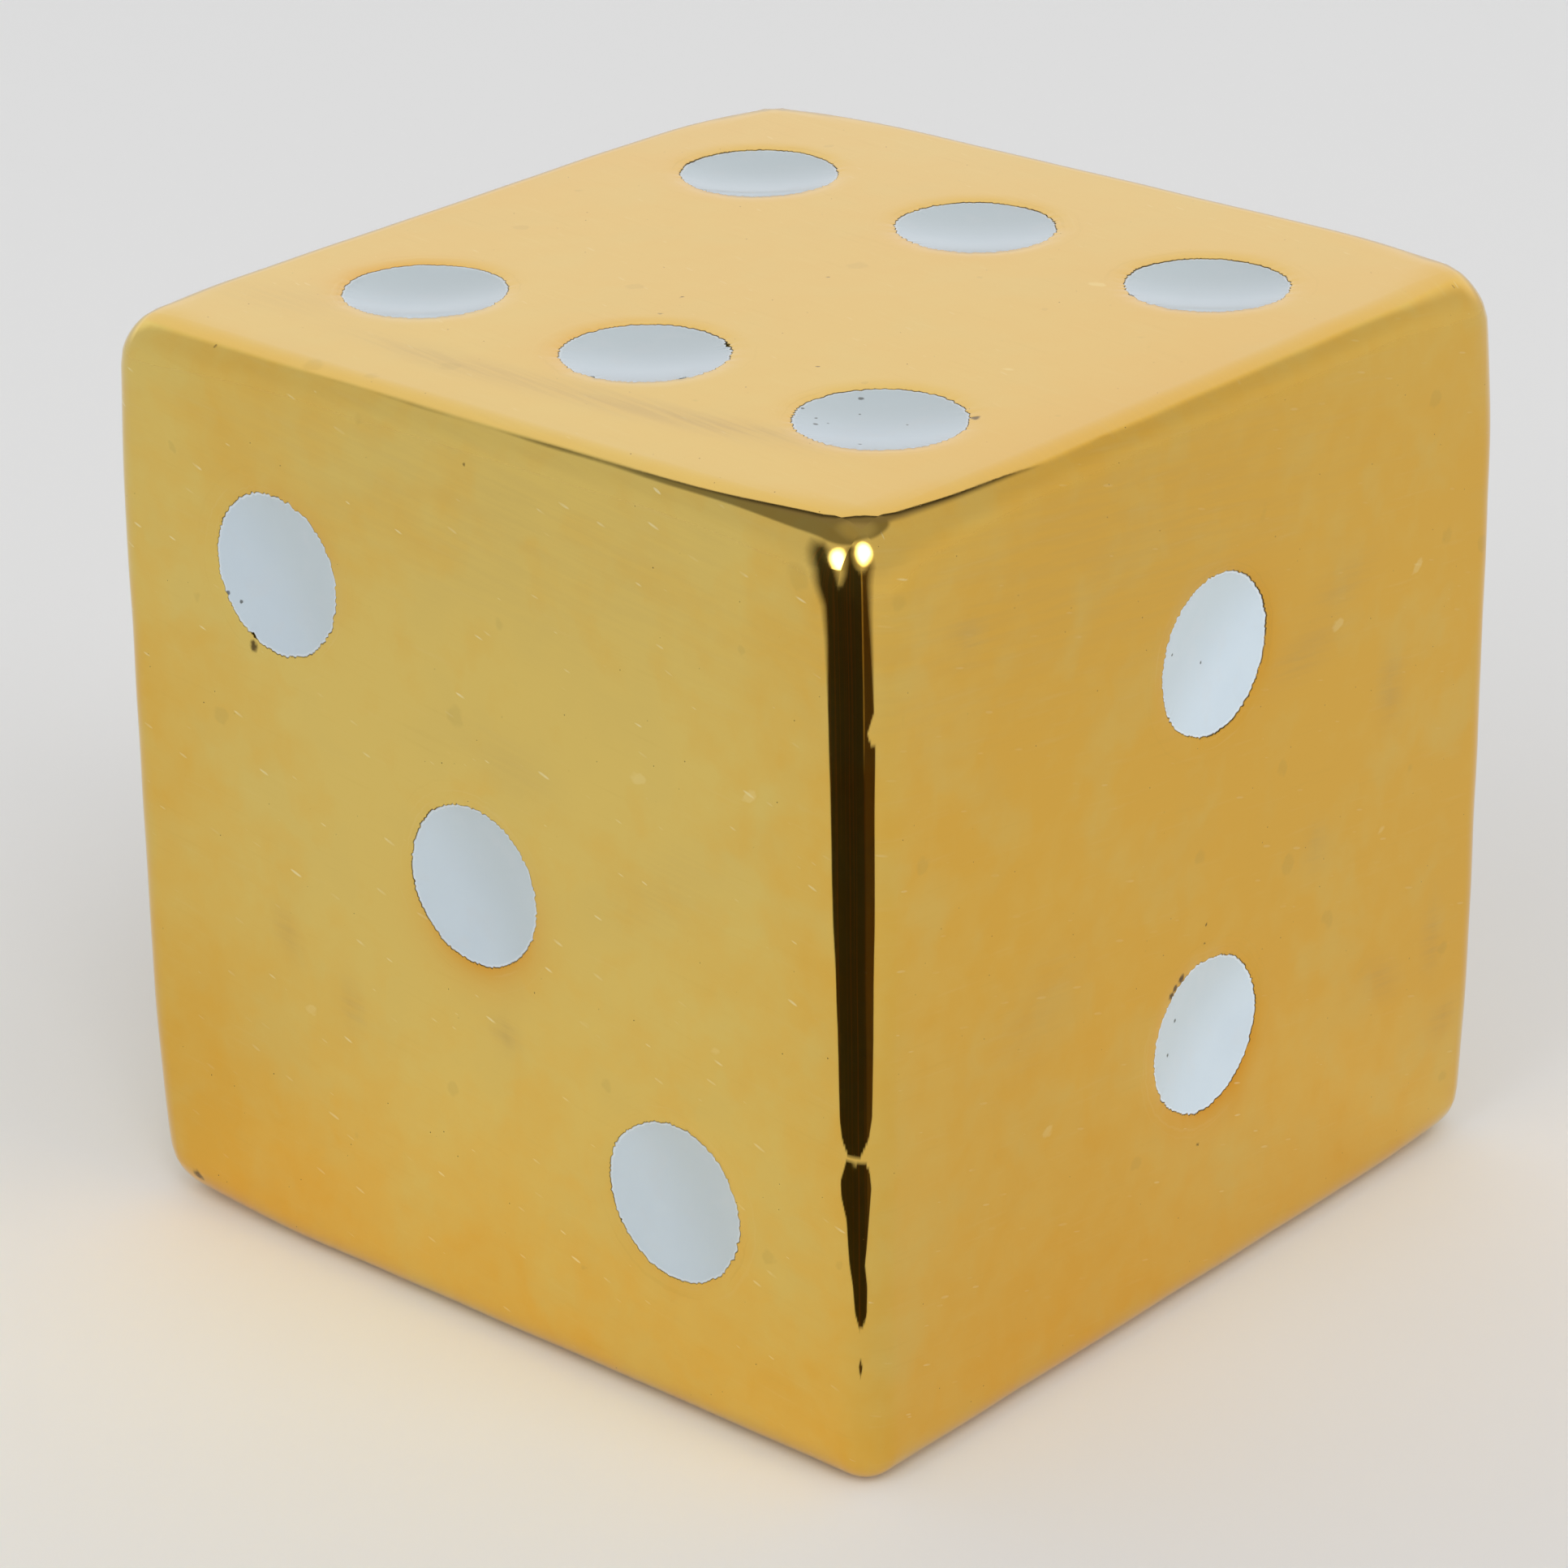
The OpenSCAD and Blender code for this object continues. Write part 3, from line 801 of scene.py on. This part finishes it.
around = add(tree, "ShaderNodeMix", {"Factor": ramp(tree, behind, 0.5, 0.8), "A": walls, "B": sheet},
             data_type="FLOAT").outputs["Result"]
tree.links.new(around, tree.nodes["Background"].inputs["Strength"])
tree.nodes["Background"].inputs["Color"].default_value = (1, 1, 1, 1)
scene.world = studio

lamp_distance = 3.0
lamps = (                # name, degrees round and up, width, height, watts, if it shows in reflections
    ("left_softbox", 2.5, 37, 1.35, 2.15, 90.0, True), ("left_fill", 2.5, 37, 1.15, 1.85, 15.0, False),
    ("right_softbox", 51, 49, 1.10, 1.70, 56.0, True), ("high_fill", 51, 49, 0.95, 1.45, 14.0, False),
    ("right_fill", 100, 8, 1.5, 1.5, 24.0, False),
)
for name, side, rise, width, tall, power, reflected in lamps:
    lamp = bpy.data.lights.new(name, "AREA")
    lamp.shape, lamp.size, lamp.size_y, lamp.energy = "ELLIPSE", width, tall, power
    if reflected:
        lamp.use_nodes = True
        tree = lamp.node_tree
        spread = add(tree, "ShaderNodeVectorMath", {
            0: add(tree, "ShaderNodeNewGeometry").outputs["Parametric"], 1: (0.5, 0.5, 0.0)},
            operation="DISTANCE").outputs["Value"]
        tree.links.new(ramp(tree, spread, 0.12, 0.50, 1.0, 0.0), tree.nodes["Emission"].inputs["Strength"])
    softbox = bpy.data.objects.new(name, lamp)
    back = heading(side) * math.cos(math.radians(rise)) + Vector((0, 0, math.sin(math.radians(rise))))
    softbox.location = Vector(block_middle) + back * lamp_distance
    softbox.rotation_euler = (-back).to_track_quat("-Z", "Y").to_euler()
    softbox.visible_glossy, softbox.visible_diffuse = reflected, not reflected
    scene.collection.objects.link(softbox)


# A dark card bent round the front edge, which shows only in reflections. It is cut to give the edge
# its black line, with a nick, a waist and soft prongs at the top that part the two softboxes.
card_reach = 0.0044      # from the middle of the edge's roll
card_middle = Vector((block_high[0] - edge_roll, block_low[1] + edge_roll, 0))
card_turns, card_rises = np.arange(-60, 80.5, 1.0), np.arange(6, 84, 0.4)
card_cuts = (            # degrees round from the front, and millimetres up
    ((-4, 31), (-6, 38.5), (-12, 47), (-14, 57), (-16, 66), (-16, 69.5), (-18, 72), (-23, 73), (-32, 75),
     (-44, 76.5), (-48, 77.5), (-38, 78.6), (-26, 78.3), (-6, 76.4), (6, 74.4), (9, 74.5), (13, 75.5),
     (14, 77), (14, 78.2), (10, 80), (12, 81.4), (22, 81.8), (30, 81), (30, 79.5), (36, 77.5), (43, 76.3),
     (47, 76.4), (54, 77.5), (61, 78.6), (62, 77), (56, 74.5), (56, 72), (58, 69), (60, 64), (53, 63),
     (48, 62.3), (54, 61.6), (62, 61.2), (61, 56.5), (60, 47), (57, 38.5), (54, 31.5), (48, 29.8), (32, 28.2),
     (12, 28.1), (0, 29.4)),
    ((7, 27.7), (-4, 25.9), (-3, 24.6), (7, 22.7), (10, 20.3), (12, 19.1), (18, 17.3), (22, 14.9), (30, 13.6),
     (38, 14.1), (43, 15), (44, 17.4), (40, 19.3), (43, 20.6), (47, 22.9), (52, 25.7), (49, 27.1), (41, 27.9),
     (25, 27.6)),
    ((31, 11.1), (28, 10.3), (31, 9.5), (35, 10.3)),
)
degree = card_reach * 1000 * math.radians(1)   # in millimetres round the card


def cut_depth(spots, cut):
    """How far inside a cut spots lie, in millimetres, or outside it where less than 0."""
    tips = np.array(cut) * (degree, 1)
    away, inside = np.full(len(spots), np.inf), np.zeros(len(spots), bool)
    for tip, after in zip(tips, np.roll(tips, -1, axis=0)):
        line = after - tip
        share = np.clip((spots - tip) @ line / (line @ line), 0, 1)
        away = np.minimum(away, np.linalg.norm(spots - tip - share[:, None] * line, axis=1))
        passes = (tip[1] > spots[:, 1]) != (after[1] > spots[:, 1])
        inside ^= passes & (spots[:, 0] < tip[0] + line[0] * (spots[:, 1] - tip[1]) / (line[1] or 1))
    return np.where(inside, away, -away)


card_plan = np.array([(turn, rise) for turn in card_turns for rise in card_rises])
depth = np.max([cut_depth(card_plan * (degree, 1), cut) for cut in card_cuts], axis=0)
soft_rises, soft_widths = (64, 70, 76, 80), (0.05, 0.30, 0.60, 0.80)   # the cuts soften higher up
softness = np.interp(card_plan[:, 1], soft_rises, soft_widths)
rows = len(card_rises)
card_mesh = bpy.data.meshes.new("dark_card")
card_mesh.from_pydata(
    [card_middle + heading(turn) * card_reach + Vector((0, 0, rise / 1000)) for turn, rise in card_plan], [],
    [(k, k + rows, k + rows + 1, k + 1) for k in range(len(card_plan) - rows) if (k + 1) % rows])
for name, values in (("cover", np.clip(0.5 + depth / (2 * softness), 0, 1)),
                     ("turn", card_plan[:, 0]), ("rise", card_plan[:, 1])):
    card_mesh.attributes.new(name, "FLOAT", "POINT").data.foreach_set("value", values)
dark_card, tree, shader = new_material("dark_card")
cover, turn, rise = (add(tree, "ShaderNodeAttribute", attribute_name=name).outputs["Fac"]
                     for name in ("cover", "turn", "rise"))
stripe = clouds(tree, add(tree, "ShaderNodeCombineXYZ", {
    "X": turn, "Y": share_of(tree, rise, 0.04)}).outputs["Vector"], 0.28, 3.0)
card_join = 43.0         # degrees round, where the card's browner end starts with a pale line
off_join = reckon(tree, "ABSOLUTE", reckon(tree, "SUBTRACT", turn, card_join))
join = reckon(tree, "MULTIPLY", ramp(tree, off_join, 0.6, 1.8, 1.0, 0.0), ramp(tree, rise, 58, 64))
black_card, brown_card = (0.062, 0.070, 0.070, 1), (0.150, 0.090, 0.060, 1)
colour = layered(
    tree, tint(tree, ramp(tree, stripe, 0.50, 0.72), black_card, brown_card),
    (ramp(tree, turn, card_join, card_join + 3), 0.8, (0.170, 0.135, 0.090, 1)),
    (join, 0.7, (0.75, 0.68, 0.45, 1)))
tree.links.new(colour, shader.inputs["Base Color"])
shader.inputs["Roughness"].default_value = 1.0
shader.inputs["Specular IOR Level"].default_value = 0.0
cut_out = add(tree, "ShaderNodeMixShader", {
    "Fac": cover, 1: add(tree, "ShaderNodeBsdfTransparent").outputs["BSDF"], 2: shader.outputs["BSDF"]})
tree.links.new(cut_out.outputs["Shader"], tree.nodes["Material Output"].inputs["Surface"])
card_mesh.materials.append(dark_card)
card = bpy.data.objects.new("dark_card", card_mesh)
card.visible_camera = card.visible_diffuse = card.visible_shadow = card.visible_transmission = False
scene.collection.objects.link(card)


# The camera: a long lens, a little above the die, that looks at the front edge between the three
# and the two.
camera_lens = bpy.data.cameras.new("camera")
camera_lens.lens, camera_lens.sensor_width = 122.43, 36.0
camera_lens.clip_start = 0.01
camera = bpy.data.objects.new("camera", camera_lens)
camera.location = (0.26541, -0.30797, 0.21382)
camera.rotation_euler = [math.radians(turn) for turn in (66.2321, 0.5781, 40.8716)]
scene.collection.objects.link(camera)
scene.camera = camera
